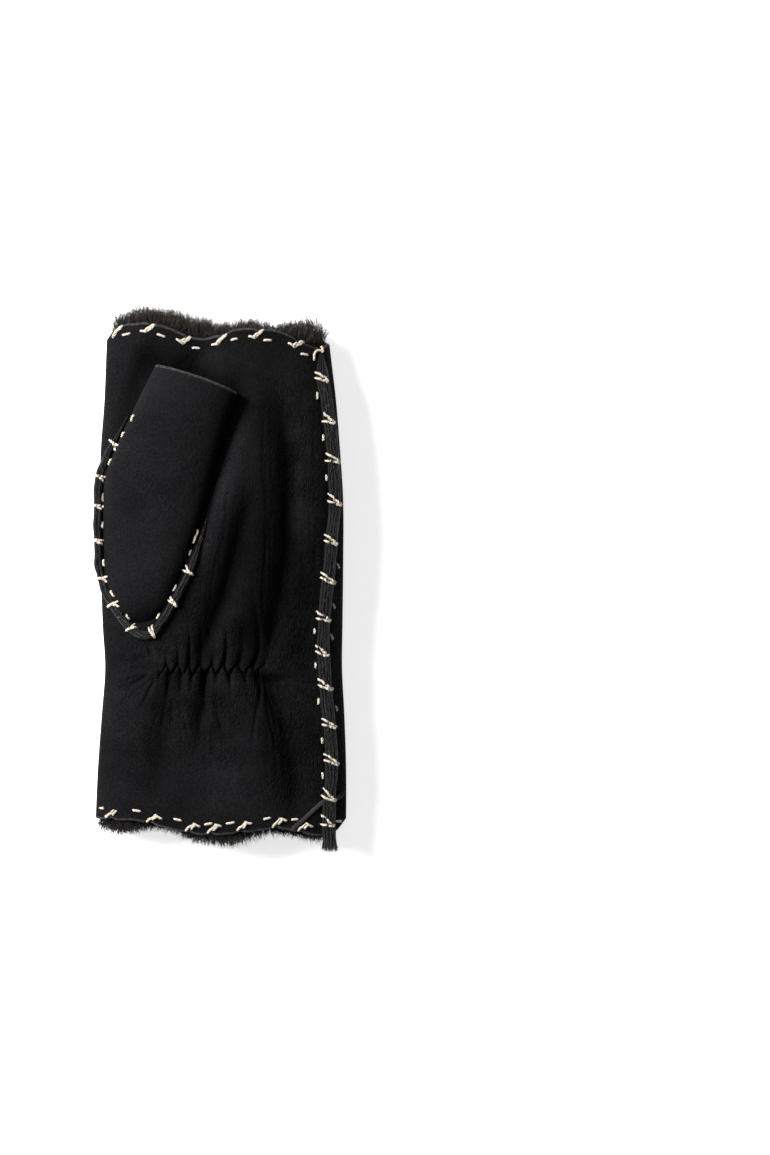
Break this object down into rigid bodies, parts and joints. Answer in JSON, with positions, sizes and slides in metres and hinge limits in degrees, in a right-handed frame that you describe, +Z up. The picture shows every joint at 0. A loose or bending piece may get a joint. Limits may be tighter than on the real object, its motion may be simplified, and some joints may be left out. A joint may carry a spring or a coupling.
{
  "type": "fingerless mitten",
  "caption": "Fingerless shearling mitten for the left hand, leather out and wool in, with an open-tipped thumb, raised out-seams and an elastic-gathered wrist.",
  "frame": {"origin": "middle of the mitten's footprint, on the surface it lies on", "axes": "+X towards the little-finger side, +Y from the wrist to the fingers, +Z up, out of the palm"},
  "size_m": [0.106, 0.2232, 0.0467],
  "materials": {
    "suede": "matte suede",
    "raw_edge": "raw cut edge",
    "wool": "curly wool pile"
  },
  "bodies": {
    "root": {"hand_shell": "suede", "hand_wool": "wool", "thumb_shell": "suede", "thumb_wool": "wool", "side_seam": "raw_edge", "thumb_seam": "raw_edge"}
  },
  "joints": []
}
